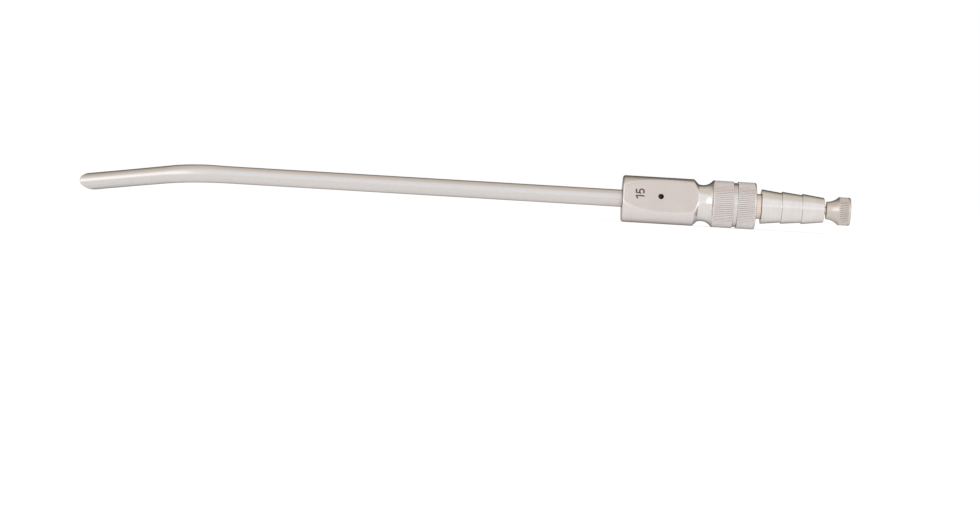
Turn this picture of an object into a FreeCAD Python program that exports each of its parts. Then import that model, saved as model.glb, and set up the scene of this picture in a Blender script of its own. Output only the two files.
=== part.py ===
import FreeCAD, Part

import math
import os

import Sketcher

# Stainless steel suction tube, 15 French: a bent tube with a slanted mouth, a turned
# handle with a thumb rest and a vent, a hose connector with three barbs, and a stylet
# (a wire with a knurled knob) that keeps the bore clear.
# Millimetres and degrees. Every piece is drawn about the X axis, the axis of the bore:
# the mouth is towards -X, the knob towards +X, the front face of the handle is at X = 0
# and the thumb rest faces +Z. The whole tool is then rolled to lie as it rests on a
# table, on its handle and its tip.

V = FreeCAD.Vector

SIZES = {
    # tube
    "tube_diameter": 5.0,
    "tube_bore": 4.0,
    "tube_reach": 124.9,
    "tube_seat": 9.0,
    "bend_radius": 29.0,
    "bend_angle": 28.5,
    "tip_length": 34.3,
    "mouth_slant": 50.0,
    # handle
    "bar_diameter": 13.5,
    "front_chamfer": 0.5,
    "grip_length": 20.6,
    "shoulder_length": 1.5,
    "shoulder_drop": 1.5,
    "waist_length": 5.5,
    "front_collar_length": 6.5,
    "rest_cutter_radius": 57.0,
    "rest_centre": 13.3,
    "rest_height": 4.72,
    "vent_place": 11.1,
    "vent_diameter": 1.5,
    "solder_gap": 0.02,
    # knurls
    "collar_teeth": 72,
    "knob_teeth": 44,
    "tooth_depth": 0.17,
    "tooth_angle": 90.0,
    "collar_land": 0.4,
    "knob_land": 0.2,
    # hose connector
    "lumen": 4.0,
    "spigot_diameter": 8.0,
    "spigot_length": 5.5,
    "spigot_clearance": 0.03,
    "socket_spare": 0.5,
    "relief_length": 1.2,
    "relief_depth": 0.35,
    "rear_collar_length": 6.4,
    "neck_diameter": 7.2,
    "neck_length": 1.2,
    "first_barb_crest": 10.0,
    "first_barb_root": 8.55,
    "second_barb_crest": 9.3,
    "second_barb_root": 8.0,
    "third_barb_crest": 8.75,
    "third_barb_root": 7.1,
    "barb_pitch": 5.9,
    "last_barb_length": 6.4,
    # stylet
    "knob_gap": 0.7,
    "nose_clearance": 0.1,
    "nose_length": 2.0,
    "knob_neck_diameter": 5.1,
    "knob_neck_length": 1.2,
    "flare_length": 2.3,
    "knob_diameter": 8.1,
    "knob_rim_length": 3.4,
    "wire_diameter": 1.2,
    "wire_anchor": 4.0,
    "wire_setback": 1.4,
}

# Places along the axis, as formulas on the sheet
GRIP_END = "sizes.grip_length"
SHOULDER_END = "(sizes.grip_length + sizes.shoulder_length)"
COLLAR_START = "(sizes.grip_length + sizes.waist_length)"
PARTING = "(sizes.grip_length + sizes.waist_length + sizes.front_collar_length)"
COLLAR_END = f"({PARTING} + sizes.rear_collar_length)"
NECK_END = f"({COLLAR_END} + sizes.neck_length)"
SECOND_BARB = f"({NECK_END} + sizes.barb_pitch)"
THIRD_BARB = f"({SECOND_BARB} + sizes.barb_pitch)"
BARB_END = f"({THIRD_BARB} + sizes.last_barb_length)"
KNOB_FRONT = f"({BARB_END} + sizes.knob_gap)"
FLARE_START = f"({KNOB_FRONT} + sizes.knob_neck_length)"
RIM_START = f"({FLARE_START} + sizes.flare_length)"
KNOB_END = f"({RIM_START} + sizes.knob_rim_length)"
SPIGOT_END = f"({PARTING} - sizes.spigot_length)"
SOCKET_END = f"({SPIGOT_END} - sizes.socket_spare)"
BAR_RADIUS = "sizes.bar_diameter / 2"
RELIEF_RADIUS = f"({BAR_RADIUS} - sizes.relief_depth)"
RIM_RADIUS = "sizes.knob_diameter / 2"

# The bend: how far its arc starts before the corner of the two straight runs
BEND_TANGENT = "sizes.bend_radius * tan(sizes.bend_angle / 2)"

doc = FreeCAD.newDocument("suction_tube")


def make_sheet():
    """Writes the driving dimensions in a sheet, one named cell each."""
    sheet = doc.addObject("Spreadsheet::Sheet", "sizes")
    for row, (name, size) in enumerate(SIZES.items(), start=1):
        sheet.set(f"A{row}", name)
        sheet.set(f"B{row}", str(size))
        sheet.setAlias(f"B{row}", name)
    doc.recompute()
    return sheet


sheet = make_sheet()


def size_of(formula):
    return float(sheet.evalExpression(formula.replace("sizes.", "")))


def new_body(name):
    body = doc.addObject("PartDesign::Body", name)
    body.Label = name
    return body


def origin_feature(body, role):
    return next(item for item in body.Origin.OriginFeatures if item.Role == role)


def new_sketch(body, name, plane, along="0"):
    """A sketch on one of the body's own planes, moved along the plane's normal."""
    sketch = body.newObject("Sketcher::SketchObject", name)
    sketch.AttachmentSupport = (origin_feature(body, plane), [""])
    sketch.MapMode = "FlatFace"
    sketch.setExpression(".AttachmentOffset.Base.z", along)
    return sketch


def bind(sketch, constraint, name, formula):
    index = sketch.addConstraint(constraint)
    sketch.renameConstraint(index, name)
    sketch.setExpression(f"Constraints.{name}", formula)


def arc_between(start, end, radius, side):
    """An arc of the given radius from start to end, bulging to the left (+1) or right (-1)."""
    chord = end - start
    normal = V(-chord.y, chord.x, 0).normalize() * side
    rise = radius - math.sqrt(radius ** 2 - (chord.Length / 2) ** 2)
    return Part.Arc(start, (start + end) / 2 + normal * rise, end)


def draw_line(sketch, corners, arcs=None, closed=True):
    """Draws lines and arcs through named corners and binds each corner to its formulas.

    arcs maps the name of an arc's first corner to its radius and the side it bulges to.
    """
    arcs = arcs or {}
    places = [V(size_of(across), size_of(up), 0) for _, across, up in corners]
    edges = len(corners) if closed else len(corners) - 1
    starts = []
    for index in range(edges):
        name = corners[index][0]
        start, end = places[index], places[(index + 1) % len(corners)]
        if name in arcs:
            radius, side = arcs[name]
            edge = arc_between(start, end, size_of(radius), side)
        else:
            edge = Part.LineSegment(start, end)
        sketch.addGeometry(edge, False)
        forward = (sketch.Geometry[index].StartPoint - start).Length < 1e-6
        starts.append(1 if forward else 2)
    for index in range(edges if closed else edges - 1):
        after = (index + 1) % edges
        ends = 3 - starts[index]
        sketch.addConstraint(Sketcher.Constraint("Coincident", index, ends, after, starts[after]))
    for index, (name, across, up) in enumerate(corners):
        last = index == edges
        edge = edges - 1 if last else index
        point = 3 - starts[edge] if last else starts[edge]
        across_bound = Sketcher.Constraint("DistanceX", -1, 1, edge, point, places[index].x)
        up_bound = Sketcher.Constraint("DistanceY", -1, 1, edge, point, places[index].y)
        bind(sketch, across_bound, f"{name}_across", across)
        bind(sketch, up_bound, f"{name}_up", up)
    for index in range(edges):
        name = corners[index][0]
        if name in arcs:
            radius = arcs[name][0]
            bend = Sketcher.Constraint("Radius", index, size_of(radius))
            bind(sketch, bend, f"{name}_radius", radius)


def draw_circle(sketch, name, diameter, across="0", up="0"):
    centre = V(size_of(across), size_of(up), 0)
    round_line = Part.Circle(centre, V(0, 0, 1), size_of(diameter) / 2)
    index = sketch.addGeometry(round_line, False)
    bind(sketch, Sketcher.Constraint("DistanceX", -1, 1, index, 3, centre.x), f"{name}_across", across)
    bind(sketch, Sketcher.Constraint("DistanceY", -1, 1, index, 3, centre.y), f"{name}_up", up)
    bind(sketch, Sketcher.Constraint("Diameter", index, size_of(diameter)), f"{name}_diameter", diameter)


def turn(body, name, corners, arcs=None):
    """Turns a closed outline, drawn above the axis, all the way round X."""
    sketch = new_sketch(body, f"{name}_outline", "XZ_Plane")
    draw_line(sketch, corners, arcs)
    solid = body.newObject("PartDesign::Revolution", name)
    solid.Profile = sketch
    solid.ReferenceAxis = (sketch, ["H_Axis"])
    solid.Angle = 360
    doc.recompute()
    return solid


def cut(body, name, sketch, length=None, both_ways=False, reverse=False):
    """Cuts a sketch out of the body and stops if nothing was cut."""
    before = body.Shape.Volume
    pocket = body.newObject("PartDesign::Pocket", name)
    pocket.Profile = sketch
    pocket.Reversed = reverse
    if length is None:
        pocket.Type = "ThroughAll"
    else:
        pocket.setExpression("Length", length)
    pocket.Midplane = both_ways
    doc.recompute()
    if not pocket.Shape.Volume < before:
        raise RuntimeError(f"{name} cuts nothing")
    return pocket


def bore(body, name, diameter, start, end):
    """Bores a round hole on the axis, from the place start to the place end."""
    sketch = new_sketch(body, f"{name}_outline", "YZ_Plane", end)
    draw_circle(sketch, "wall", diameter)
    return cut(body, name, sketch, f"{end} - {start}")


def knurl(body, name, radius, start, end, teeth):
    """Rolls straight teeth round a band: one V groove, repeated round the axis."""
    sketch = new_sketch(body, f"{name}_groove", "YZ_Plane", end)
    top = f"({radius} + sizes.tooth_depth)"
    half_width = "2 * sizes.tooth_depth * tan(sizes.tooth_angle / 2)"
    draw_line(sketch, [
        ("root", "0", f"{radius} - sizes.tooth_depth"),
        ("right", half_width, top),
        ("left", f"-{half_width}", top),
    ])
    groove = cut(body, name, sketch, f"{end} - {start}")
    before = groove.Shape.Volume
    ring = body.newObject("PartDesign::PolarPattern", f"{name}_ring")
    ring.Originals = [groove]
    ring.Axis = (origin_feature(body, "X_Axis"), [""])
    ring.Angle = 360
    ring.setExpression("Occurrences", teeth)
    body.Tip = ring
    doc.recompute()
    if not ring.Shape.Volume < before:
        raise RuntimeError(f"{name} has one groove only")
    return ring


def bent_line(body, name, start, past_corner):
    """The centre line of the tube: straight, one arc, straight again."""
    sketch = new_sketch(body, name, "XZ_Plane")

    def after_corner(distance):
        across = f"-sizes.tube_reach - ({distance}) * cos(sizes.bend_angle)"
        up = f"-({distance}) * sin(sizes.bend_angle)"
        return across, up

    draw_line(
        sketch,
        [
            ("start", start, "0"),
            ("bend_start", f"-sizes.tube_reach + {BEND_TANGENT}", "0"),
            ("bend_end", *after_corner(BEND_TANGENT)),
            ("finish", *after_corner(past_corner)),
        ],
        {"bend_start": ("sizes.bend_radius", -1)},
        closed=False,
    )
    return sketch


def sweep(body, name, section, path):
    pipe = body.newObject("PartDesign::AdditivePipe", name)
    pipe.Profile = section
    pipe.Spine = (path, [])
    doc.recompute()
    return pipe


def make_tube():
    """Drawn tube, bent once and cut on a slant that opens away from the thumb rest."""
    body = new_body("suction_tube")
    section = new_sketch(body, "tube_section", "YZ_Plane", "sizes.tube_seat")
    draw_circle(section, "outside", "sizes.tube_diameter")
    draw_circle(section, "inside", "sizes.tube_bore")
    past_mouth = "sizes.tip_length + sizes.tube_diameter * tan(sizes.mouth_slant)"
    path = bent_line(body, "tube_path", "sizes.tube_seat", past_mouth)
    sweep(body, "drawn_tube", section, path)

    # The slant: a block whose lower side is the plane of the mouth
    slant = body.newObject("Sketcher::SketchObject", "mouth_outline")
    slant.AttachmentSupport = (origin_feature(body, "XZ_Plane"), [""])
    slant.MapMode = "FlatFace"
    offset = FreeCAD.Placement(V(0, 0, 0), FreeCAD.Rotation(V(0, 0, 1), 10))
    slant.AttachmentOffset = offset
    slant.setExpression(
        ".AttachmentOffset.Base.x",
        "-sizes.tube_reach - sizes.tip_length * cos(sizes.bend_angle)",
    )
    slant.setExpression(".AttachmentOffset.Base.y", "-sizes.tip_length * sin(sizes.bend_angle)")
    slant.setExpression(".AttachmentOffset.Rotation.Angle", "sizes.bend_angle + sizes.mouth_slant - 90")
    reach = "sizes.tube_diameter * 3"
    draw_line(slant, [
        ("left_top", f"-{reach}", "0"),
        ("right_top", reach, "0"),
        ("right_bottom", reach, f"-{reach}"),
        ("left_bottom", f"-{reach}", f"-{reach}"),
    ])
    cut(body, "mouth", slant, both_ways=True)
    return body


def make_handle():
    """Turned from bar: grip with a scooped thumb rest, waist, and knurled collar."""
    body = new_body("handle")
    cove = "(sizes.waist_length - sizes.shoulder_length)"
    cove_radius = f"({cove}^2 + sizes.shoulder_drop^2) / (2 * sizes.shoulder_drop)"
    turn(
        body,
        "turned_handle",
        [
            ("front_centre", "0", "0"),
            ("front_edge", "0", f"{BAR_RADIUS} - sizes.front_chamfer"),
            ("grip_front", "sizes.front_chamfer", BAR_RADIUS),
            ("grip_rear", GRIP_END, BAR_RADIUS),
            ("waist_front", SHOULDER_END, f"{BAR_RADIUS} - sizes.shoulder_drop"),
            ("collar_front", COLLAR_START, BAR_RADIUS),
            ("collar_rear", PARTING, BAR_RADIUS),
            ("rear_centre", PARTING, "0"),
        ],
        {"waist_front": (cove_radius, -1)},
    )

    # The thumb rest: a wide arc milled straight across the grip, which runs out on the shoulder
    def rest_level(place):
        squared = f"sizes.rest_cutter_radius^2 - ({place} - sizes.rest_centre)^2"
        return f"sizes.rest_height + sizes.rest_cutter_radius - sqrt({squared})"

    rest = new_sketch(body, "thumb_rest_outline", "XZ_Plane")
    overrun = "-sizes.front_chamfer"
    draw_line(
        rest,
        [
            ("front_low", overrun, rest_level(overrun)),
            ("rear_low", SHOULDER_END, rest_level(SHOULDER_END)),
            ("rear_high", SHOULDER_END, "sizes.bar_diameter"),
            ("front_high", overrun, "sizes.bar_diameter"),
        ],
        {"front_low": ("sizes.rest_cutter_radius", -1)},
    )
    cut(body, "thumb_rest", rest, both_ways=True)

    bore(body, "lumen_bore", "sizes.lumen", "0", PARTING)
    bore(body, "tube_socket", "sizes.tube_diameter + 2 * sizes.solder_gap", "0", "sizes.tube_seat")
    socket = "sizes.spigot_diameter + 2 * sizes.spigot_clearance"
    bore(body, "spigot_socket", socket, SOCKET_END, PARTING)

    vent = new_sketch(body, "vent_outline", "XY_Plane")
    draw_circle(vent, "vent", "sizes.vent_diameter", "sizes.vent_place")
    cut(body, "vent", vent, BAR_RADIUS, reverse=True)

    teeth_start = f"({COLLAR_START} + sizes.collar_land)"
    knurl(body, "front_knurl", BAR_RADIUS, teeth_start, PARTING, "sizes.collar_teeth")
    return body


def make_connector():
    """Hose connector: spigot in the handle, knurled collar, neck and three barbs."""
    body = new_body("hose_connector")

    def barb(name, start, end):
        """A cone that falls from its crest to its root, towards the hose."""
        return [
            (f"{name}_crest", start, f"sizes.{name}_barb_crest / 2"),
            (f"{name}_root", end, f"sizes.{name}_barb_root / 2"),
        ]

    relief_end = f"({PARTING} + sizes.relief_length)"
    corners = [
        ("spigot_centre", SPIGOT_END, "0"),
        ("spigot_face", SPIGOT_END, "sizes.spigot_diameter / 2"),
        ("spigot_root", PARTING, "sizes.spigot_diameter / 2"),
        ("relief_front", PARTING, RELIEF_RADIUS),
        ("relief_rear", relief_end, RELIEF_RADIUS),
        ("collar_front", relief_end, BAR_RADIUS),
        ("collar_rear", COLLAR_END, BAR_RADIUS),
        ("neck_front", COLLAR_END, "sizes.neck_diameter / 2"),
        ("neck_rear", NECK_END, "sizes.neck_diameter / 2"),
    ]
    corners += barb("first", NECK_END, SECOND_BARB)
    corners += barb("second", SECOND_BARB, THIRD_BARB)
    corners += barb("third", THIRD_BARB, BARB_END)
    corners += [("mouth_centre", BARB_END, "0")]
    turn(body, "turned_connector", corners)
    bore(body, "connector_bore", "sizes.lumen", SPIGOT_END, BARB_END)
    knurl(body, "rear_knurl", BAR_RADIUS, relief_end, COLLAR_END, "sizes.collar_teeth")
    return body


def make_knob():
    """Stylet knob: nose that centres it in the bore, flared neck and knurled rim."""
    body = new_body("stylet_knob")
    nose_radius = "sizes.lumen / 2 - sizes.nose_clearance"
    turn(
        body,
        "turned_knob",
        [
            ("nose_centre", f"{BARB_END} - sizes.nose_length", "0"),
            ("nose_face", f"{BARB_END} - sizes.nose_length", nose_radius),
            ("nose_root", KNOB_FRONT, nose_radius),
            ("neck_face", KNOB_FRONT, "sizes.knob_neck_diameter / 2"),
            ("neck_rear", FLARE_START, "sizes.knob_neck_diameter / 2"),
            ("rim_front", RIM_START, RIM_RADIUS),
            ("rim_rear", KNOB_END, RIM_RADIUS),
            ("back_centre", KNOB_END, "0"),
        ],
    )
    anchor = f"({KNOB_FRONT} + sizes.wire_anchor)"
    hole = "sizes.wire_diameter + 2 * sizes.solder_gap"
    bore(body, "wire_socket", hole, f"({BARB_END} - sizes.nose_length)", anchor)
    teeth_start = f"({RIM_START} + sizes.knob_land)"
    knurl(body, "rim_knurl", RIM_RADIUS, teeth_start, KNOB_END, "sizes.knob_teeth")
    return body


def make_wire():
    """Stylet wire: soldered in the knob, it follows the bore to just inside the mouth."""
    body = new_body("stylet_wire")
    start = f"{KNOB_FRONT} + sizes.wire_anchor"
    section = new_sketch(body, "wire_section", "YZ_Plane", start)
    draw_circle(section, "wire", "sizes.wire_diameter")
    path = bent_line(body, "wire_path", start, "sizes.tip_length - sizes.wire_setback")
    sweep(body, "drawn_wire", section, path)
    return body


def tip_drop(roll):
    """How far the tip reaches below the axis when the tool is rolled by an angle.

    The rim of the mouth is walked round: each point lies on the outside of the tube,
    further out on the long side of the slant.
    """
    bend = math.radians(SIZES["bend_angle"])
    slant = math.radians(SIZES["mouth_slant"])
    radius = SIZES["tube_diameter"] / 2
    steps = 180
    drop = 0.0
    for step in range(steps):
        around = 2 * math.pi * step / steps
        towards_rest = radius * math.cos(around)
        along = SIZES["tip_length"] + towards_rest * math.tan(slant)
        below = along * math.sin(bend) - towards_rest * math.cos(bend)
        beside = radius * math.sin(around)
        drop = max(drop, below * math.cos(roll) + beside * math.sin(roll))
    return drop


def resting_roll():
    """The roll at which the tip comes to the height of the handle's lowest line."""
    on_side, upright = math.pi / 2, 0.0
    halvings = 50
    for _ in range(halvings):
        middle = (on_side + upright) / 2
        if tip_drop(middle) < SIZES["bar_diameter"] / 2:
            on_side = middle
        else:
            upright = middle
    return math.degrees(on_side)


def lay_down(bodies):
    """Rolls the tool on its side and centres it over the origin, on the table."""
    roll = FreeCAD.Rotation(V(1, 0, 0), resting_roll())
    for body in bodies:
        body.Placement = FreeCAD.Placement(V(0, 0, 0), roll)
    doc.recompute()
    whole = FreeCAD.BoundBox()
    for body in bodies:
        whole.add(body.Shape.optimalBoundingBox(False, False))
    height = SIZES["bar_diameter"] / 2
    shift = V(-whole.Center.x, -whole.Center.y, height)
    for body in bodies:
        body.Placement = FreeCAD.Placement(shift, roll)
    doc.recompute()


def check():
    """Stops before anything is written if an object or a shape is not sound."""
    for item in doc.Objects:
        if "Invalid" in item.State or "Error" in item.State:
            raise RuntimeError(f"{item.Name} did not come out: {item.State}")
    for body in doc.findObjects("PartDesign::Body"):
        if body.Shape.isNull() or not body.Shape.isValid():
            raise RuntimeError(f"{body.Label} has no sound shape")
        if len(body.Shape.Solids) != 1:
            raise RuntimeError(f"{body.Label} is {len(body.Shape.Solids)} solids")


pieces = [make_tube(), make_handle(), make_connector(), make_knob(), make_wire()]
lay_down(pieces)
check()
os.makedirs("parts", exist_ok=True)
for piece in pieces:
    piece.Shape.exportStep(os.path.join("parts", f"{piece.Label}.step"))
    box = piece.Shape.optimalBoundingBox(False, False)
    print(piece.Label, "volume", round(piece.Shape.Volume, 1), "mm3", box)
print("roll", round(resting_roll(), 2), "degrees")
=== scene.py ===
import math
from collections import namedtuple

import bmesh
import bpy
from bpy.props import FloatProperty, FloatVectorProperty, IntProperty, PointerProperty
from mathutils import Matrix, Vector


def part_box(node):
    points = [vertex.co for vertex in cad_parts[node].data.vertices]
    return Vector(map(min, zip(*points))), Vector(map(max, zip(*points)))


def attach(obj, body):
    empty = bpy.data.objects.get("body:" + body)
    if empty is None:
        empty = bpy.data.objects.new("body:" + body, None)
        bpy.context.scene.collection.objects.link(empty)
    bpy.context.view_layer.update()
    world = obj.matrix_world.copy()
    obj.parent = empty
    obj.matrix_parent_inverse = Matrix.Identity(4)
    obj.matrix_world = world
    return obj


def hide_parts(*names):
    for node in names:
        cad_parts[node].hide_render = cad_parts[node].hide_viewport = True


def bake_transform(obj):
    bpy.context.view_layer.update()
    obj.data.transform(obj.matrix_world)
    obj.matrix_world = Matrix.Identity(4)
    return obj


# Stainless steel suction tube, 15 French, lying on a pale table: a bent tube with a
# slanted mouth, a turned handle with a thumb rest and a vent, a hose connector with
# three barbs, and a stylet, which is a wire with a knurled knob.
# Each piece is drawn in the tool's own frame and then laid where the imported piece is:
# X is the axis of the bore, from the mouth to the knob, the handle's front face is at
# X = 0, and the thumb rest faces +Z. Sizes are in metres.

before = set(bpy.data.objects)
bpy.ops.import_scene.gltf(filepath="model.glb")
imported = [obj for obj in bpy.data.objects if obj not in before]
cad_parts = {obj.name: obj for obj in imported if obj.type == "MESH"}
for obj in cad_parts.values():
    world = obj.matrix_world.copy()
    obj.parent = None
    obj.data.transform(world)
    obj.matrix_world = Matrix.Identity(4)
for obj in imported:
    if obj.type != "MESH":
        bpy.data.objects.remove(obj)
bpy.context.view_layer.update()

bl_info = {
    "name": "Suction tube with stylet",
    "version": (1, 0, 0),
    "blender": (4, 5, 0),
    "location": "View3D > Sidebar > Suction tube",
    "description": "Builds a bent steel suction tube, its handle, hose connector and stylet",
    "category": "Add Mesh",
}

MM = 0.001

STEEL_BODY = "tube_and_handle"
STYLET_BODY = "stylet"

# Small roundings of edges that are only broken, and chamfers at the mouths of holes
BROKEN = 0.1 * MM
CHAMFER = 0.3 * MM

# Edges that turn by more than this stay sharp when a piece is shaded smooth
SHARP_ANGLE = math.radians(35)


def linear(code):
    """The linear colour of an sRGB hex value such as #C8C4C0."""
    channels = [int(code[start:start + 2], 16) / 255 for start in (1, 3, 5)]
    return tuple(c / 12.92 if c <= 0.04045 else ((c + 0.055) / 1.055) ** 2.4 for c in channels)


def length(name, description, millimetres):
    """A length that a user may change, in metres."""
    return FloatProperty(
        name=name, description=description, default=millimetres * MM,
        min=0.0, precision=5, subtype="DISTANCE", unit="LENGTH",
    )


def angle(name, description, degrees):
    return FloatProperty(
        name=name, description=description, default=math.radians(degrees),
        subtype="ANGLE", unit="ROTATION",
    )


def share(name, description, default):
    return FloatProperty(name=name, description=description, default=default, min=0.0, max=1.0)


def colour(name, description, code):
    return FloatVectorProperty(
        name=name, description=description, default=linear(code),
        size=3, min=0.0, max=1.0, subtype="COLOR",
    )


def tool_axis():
    """A point of the bore's axis: in the plane of the handle's front face."""
    low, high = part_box("handle")
    return Vector((low.x, (low.y + high.y) / 2, (low.z + high.z) / 2))


def tool_roll():
    """How far the tool is rolled on its side, read from the way that the wire's end hangs."""
    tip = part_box("stylet_wire")[0].x
    end_face = 0.5 * MM
    ring = [v.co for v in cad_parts["stylet_wire"].data.vertices if v.co.x < tip + end_face]
    hang = sum(ring, Vector()) / len(ring) - tool_axis()
    return math.atan2(hang.y, -hang.z)


TOOL_TO_ROW = Matrix.Translation(tool_axis()) @ Matrix.Rotation(tool_roll(), 4, "X")


def station(node, end):
    """How far behind the handle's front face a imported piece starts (0) or ends (1)."""
    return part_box(node)[end].x - tool_axis().x


class TubeSizes(bpy.types.PropertyGroup):
    diameter: length("Diameter", "Outside diameter, 15 French", 5.0)
    bore: length("Bore", "Inside diameter", 4.0)
    reach: length("Reach", "From the handle's front face to the corner of the bend", 124.9)
    seat: length("Seat", "How deep the tube sits in the handle", 9.0)
    bend_radius: length("Bend radius", "Radius of the centre line in the bend", 29.0)
    bend: angle("Bend", "Angle that the tip is bent by", 28.5)
    tip: length("Tip", "From the corner of the bend to the middle of the mouth", 34.3)
    slant: angle("Slant", "Angle that the mouth is cut at", 50.0)
    lip: length("Lip", "Rounding of the mouth's outer edge", 0.26)
    inner_lip: length("Inner lip", "Rounding of the mouth's inner edge", 0.08)
    oval: share("Oval", "How much wider the bend has left the tube across it", 0.055)


class HandleSizes(bpy.types.PropertyGroup):
    diameter: length("Diameter", "Bar that the grip and the collars are turned from", 13.5)
    front_rounding: length("Front rounding", "Rounding of the front edge", 0.75)
    grip: length("Grip", "Length of the grip", 20.6)
    shoulder: length("Shoulder", "Length of the shoulder behind the grip", 1.3)
    shoulder_drop: length("Shoulder drop", "How far the shoulder falls", 1.32)
    cove_radius: length("Cove radius", "Radius of the waist's hollow", 3.6)
    waist: length("Waist", "From the grip to the knurled collar", 5.5)
    rest_radius: length("Thumb rest radius", "Radius of the cutter that scoops it", 57.0)
    rest_place: length("Thumb rest place", "Where the thumb rest is deepest", 13.3)
    rest_height: length("Thumb rest height", "Height of its deepest line above the axis", 4.72)
    rest_rounding: length("Thumb rest rounding", "How wide its edge is blended", 0.5)
    vent_place: length("Vent place", "Middle of the vent, from the front face", 11.1)
    vent_diameter: length("Vent diameter", "Hole that is closed with a fingertip", 1.5)
    solder_gap: length("Solder gap", "Between the tube and its hole", 0.02)


class KnurlSizes(bpy.types.PropertyGroup):
    collar_teeth: IntProperty(
        name="Collar teeth", description="Teeth round each collar", default=72, min=3,
    )
    knob_teeth: IntProperty(
        name="Knob teeth", description="Teeth round the knob's rim", default=44, min=3,
    )
    depth: length("Depth", "Height of a tooth", 0.17)
    groove: length("Groove", "Width of a groove at its mouth", 0.3)
    rounding: length("Rounding", "Rounding of a tooth's crest", 0.04)
    collar_land: length("Collar land", "Plain edge in front of the front collar's teeth", 0.35)
    rear_land: length("Rear land", "Plain edge at the other ends of the collars", 0.12)
    knob_land: length("Knob land", "Plain edge in front of the knob's teeth", 0.25)
    knob_rear_land: length("Knob rear land", "Plain edge behind the knob's teeth", 0.75)


class ConnectorSizes(bpy.types.PropertyGroup):
    lumen: length("Lumen", "Bore behind the tube", 4.0)
    spigot: length("Spigot", "Diameter of the spigot in the handle", 8.0)
    spigot_clearance: length("Spigot clearance", "Between the spigot and its socket", 0.03)
    parting: length("Parting groove", "Width of the groove between the collars", 1.2)
    relief: length("Relief", "Width of the slot at the foot of each of the groove's walls", 0.16)
    relief_depth: length("Relief depth", "Depth of these slots", 0.3)
    parting_depth: length("Parting depth", "Depth of the groove", 0.4)
    slit: length("Slit", "Between the two parts at the groove's bottom", 0.03)
    collar: length("Collar", "From the parting line to the collar's rear face", 5.95)
    collar_rounding: length("Collar rounding", "Rounding of its rear edge", 0.45)
    neck: length("Neck", "Diameter of the neck", 7.2)
    neck_length: length("Neck length", "Length of the neck", 1.65)
    first_crest: length("First crest", "Diameter of the first barb's crest", 10.0)
    first_root: length("First root", "Diameter of the first barb's root", 8.55)
    second_crest: length("Second crest", "Diameter of the second barb's crest", 9.3)
    second_root: length("Second root", "Diameter of the second barb's root", 8.0)
    third_crest: length("Third crest", "Diameter of the third barb's crest", 8.75)
    third_root: length("Third root", "Diameter of the third barb's root", 7.1)
    barb: length("Barb", "Length of the first and second barb", 5.9)
    crest_rounding: length("Crest rounding", "Rounding of a barb's crest", 0.1)
    root_rounding: length("Root rounding", "Rounding of the corner at a barb's root", 0.22)


class StyletSizes(bpy.types.PropertyGroup):
    nose_clearance: length("Nose clearance", "Between the knob's nose and the bore", 0.1)
    knob_gap: length("Knob gap", "Between the barb's end and the knob", 0.7)
    undercut: length("Undercut", "Width of the groove behind the nose", 0.8)
    undercut_neck: length("Undercut neck", "Diameter left in that groove", 2.2)
    neck: length("Neck", "Diameter of the knob where its flare starts", 5.1)
    flare: length("Flare", "Length of the knob's flare", 3.5)
    rim: length("Rim", "Diameter of the knob's rim", 8.1)
    rim_rounding: length("Rim rounding", "Rounding of the rim's rear edge", 0.4)
    wire: length("Wire", "Diameter of the wire", 1.2)
    wire_setback: length("Wire setback", "How far inside the mouth the wire ends", 1.4)


class MarkSizes(bpy.types.PropertyGroup):
    digit_height: length("Digit height", "Height of the gauge number's digits", 2.65)
    width: length("Width", "Width of the whole number", 3.15)
    place: length("Place", "Middle of the number, from the handle's front face", 5.0)
    offset: length("Offset", "Middle of the number, across the thumb rest", 0.3)
    stroke: share("Stroke", "Width of a stroke, of the digits' height", 0.17)
    relief: length("Relief", "How far the mark stands out of the steel", 0.008)


class Finish(bpy.types.PropertyGroup):
    drawn: colour("Drawn steel", "The tube and the wire", "#D5D1CE")
    satin: colour("Satin steel", "The thumb rest", "#CFC5BE")
    turned: colour("Turned steel", "The grip and the knurled collars", "#DBD5D1")
    polished: colour("Polished steel", "The waist and the barbs", "#DFDBD7")
    # The knob's darker colour is painted shade for its knurled rim.
    knob: colour("Knob", "The stylet's knob, which handling has dulled", "#CFC7BF")
    # The neck's warm tint is painted shade and painted reflection, not a colour of the steel.
    straw: colour("Straw", "The tint in the hose connector's neck", "#EADCCF")
    mark: colour("Mark", "The gauge number, an oxide film left by a laser", "#6A5647")
    drawn_roughness: share("Drawn roughness", "Roughness of the drawn tube", 0.28)
    satin_roughness: share("Satin roughness", "Roughness of the thumb rest", 0.33)
    turned_roughness: share("Turned roughness", "Roughness of the grip and the collars", 0.23)
    polished_roughness: share("Polished roughness", "Roughness of the waist and the barbs", 0.12)
    knob_roughness: share("Knob roughness", "Roughness of the knob", 0.23)
    straw_roughness: share("Straw roughness", "Roughness of the connector's neck", 0.3)
    mark_roughness: share("Mark roughness", "Roughness of the gauge number", 0.45)


class StageSettings(bpy.types.PropertyGroup):
    lens: FloatProperty(
        name="Lens", description="Focal length in millimetres", default=118.3, min=1.0,
    )
    distance: length("Distance", "From the camera to the tool", 930.6)
    middle: length("Middle", "From the picture's middle to the handle's front face", 38.15)
    drop: length("Drop", "How far below the axis the camera points", 20.1)
    pitch: angle("Pitch", "How far the camera looks down", 1.56)
    roll: angle("Roll", "How far the camera is rolled", 3.41)
    tent_radius: length("Tent radius", "Radius of the light tent", 15000.0)
    floor_size: length("Floor size", "Side of the pale table", 6000.0)
    side_light: FloatProperty(
        name="Side light", description="How much brighter the tent is at its sides", default=1.45,
    )


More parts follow.
